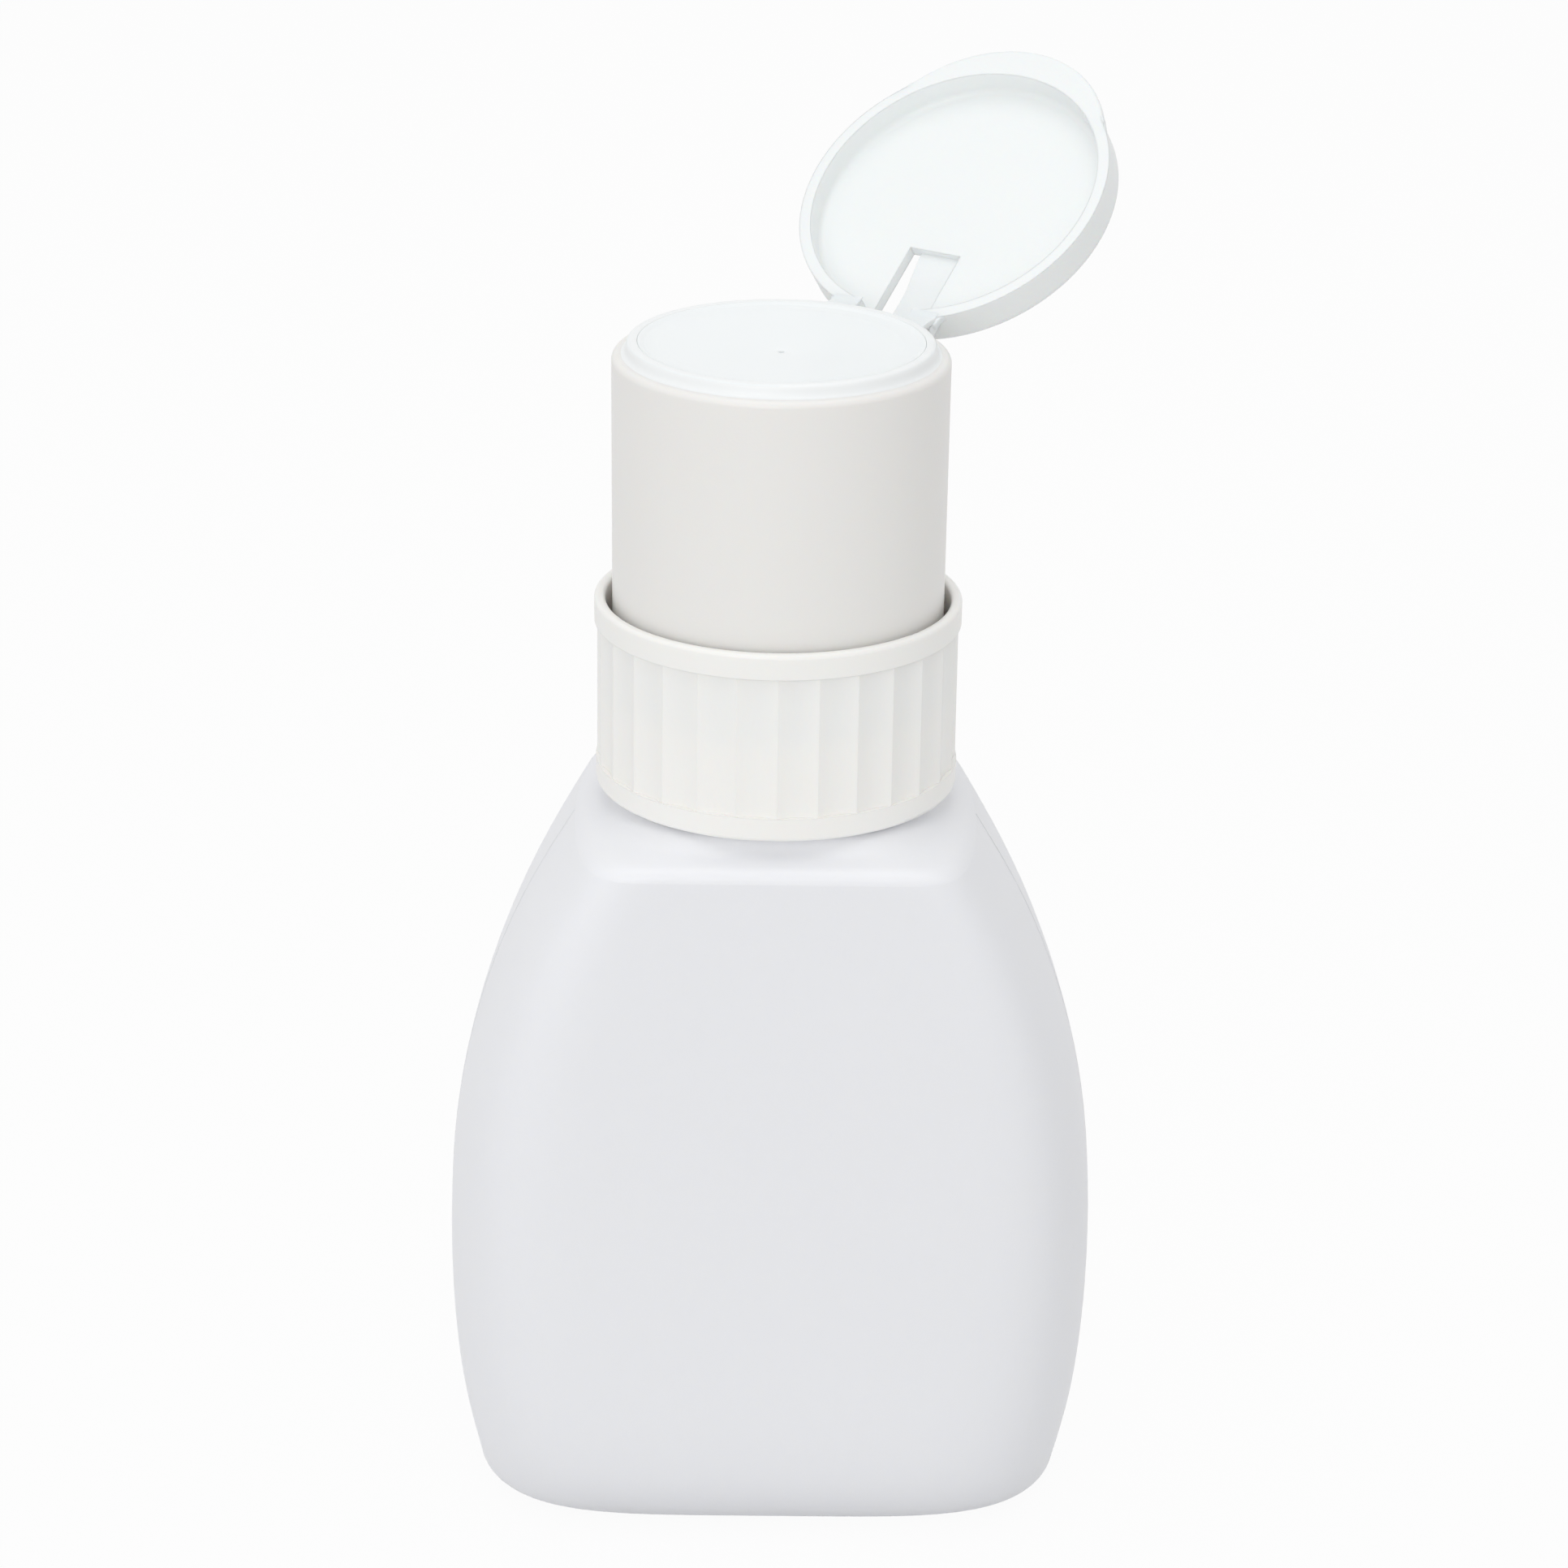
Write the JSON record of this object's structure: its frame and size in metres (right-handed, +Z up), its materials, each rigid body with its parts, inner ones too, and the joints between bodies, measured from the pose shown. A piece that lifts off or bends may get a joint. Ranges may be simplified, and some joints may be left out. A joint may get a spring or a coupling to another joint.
{
  "type": "pump dispenser bottle",
  "caption": "Push-down pump dispenser bottle: flask-shaped body, fluted screw collar, tall cylindrical head with a dished top and a flip lid on a side hinge.",
  "frame": {"origin": "centre of the bottle's base, on the surface it stands on", "axes": "+Z up along the pump, the flat front faces -Y, the flip lid opens back and to the right"},
  "size_m": [0.081, 0.0728, 0.1733],
  "materials": {
    "bottle_plastic": "milky translucent polyethylene, satin",
    "collar_plastic": "white polypropylene, semi-gloss",
    "head_plastic": "white polypropylene, semi-gloss",
    "dish_plastic": "white polypropylene, glossy",
    "pump_plastic": "natural polypropylene",
    "tube_plastic": "natural polyethylene tube",
    "soft_plastic": "soft polyethylene",
    "gasket_rubber": "pale foam rubber",
    "steel": "stainless steel, bright"
  },
  "bodies": {
    "bottle": {"bottle": "bottle_plastic"},
    "pump": {"pump_housing": "pump_plastic", "neck_gasket": "gasket_rubber", "dip_tube": "tube_plastic", "inlet_ball": "steel", "valve_cage": "pump_plastic", "pump_spring": "steel", "housing_cap": "pump_plastic", "stem_wiper": "soft_plastic"},
    "collar": {"collar": "collar_plastic"},
    "piston": {"piston_cup": "soft_plastic", "piston_rod": "pump_plastic", "stem": "pump_plastic", "outlet_ball": "steel"},
    "head": {"head_sleeve": "head_plastic", "dish": "dish_plastic", "hinge_strap": "head_plastic"},
    "lid": {"lid": "head_plastic"}
  },
  "joints": [
    {"name": "pump_lift", "type": "slide", "parent": "bottle", "child": "pump", "axis": [0, 0, 1], "range_m": [0, 0.00565]},
    {"name": "collar_turn", "type": "hinge", "parent": "pump", "child": "collar", "pos_m": [0, 0, 0.1], "axis": [0, 0, 1], "range_deg": [0, 480]},
    {"name": "head_press", "type": "slide", "parent": "pump", "child": "piston", "axis": [0, 0, -1], "range_m": [0, 0.0065], "stiffness_N_per_m": 600, "springref_m": -0.008, "deforming": ["pump_spring"]},
    {"name": "head_turn", "type": "hinge", "parent": "piston", "child": "head", "pos_m": [0, 0, 0.14], "axis": [0, 0, 1], "continuous": true},
    {"name": "lid_hinge", "type": "hinge", "parent": "head", "child": "lid", "pos_m": [0.01164, 0.01663, 0.1471], "axis": [-0.8192, 0.5736, 0], "range_deg": [-141.5, 0], "deforming": ["hinge_strap"]}
  ],
  "couplings": [
    {"joint": "pump_lift", "follows": "collar_turn", "m_per_rad": 0.000673}
  ]
}
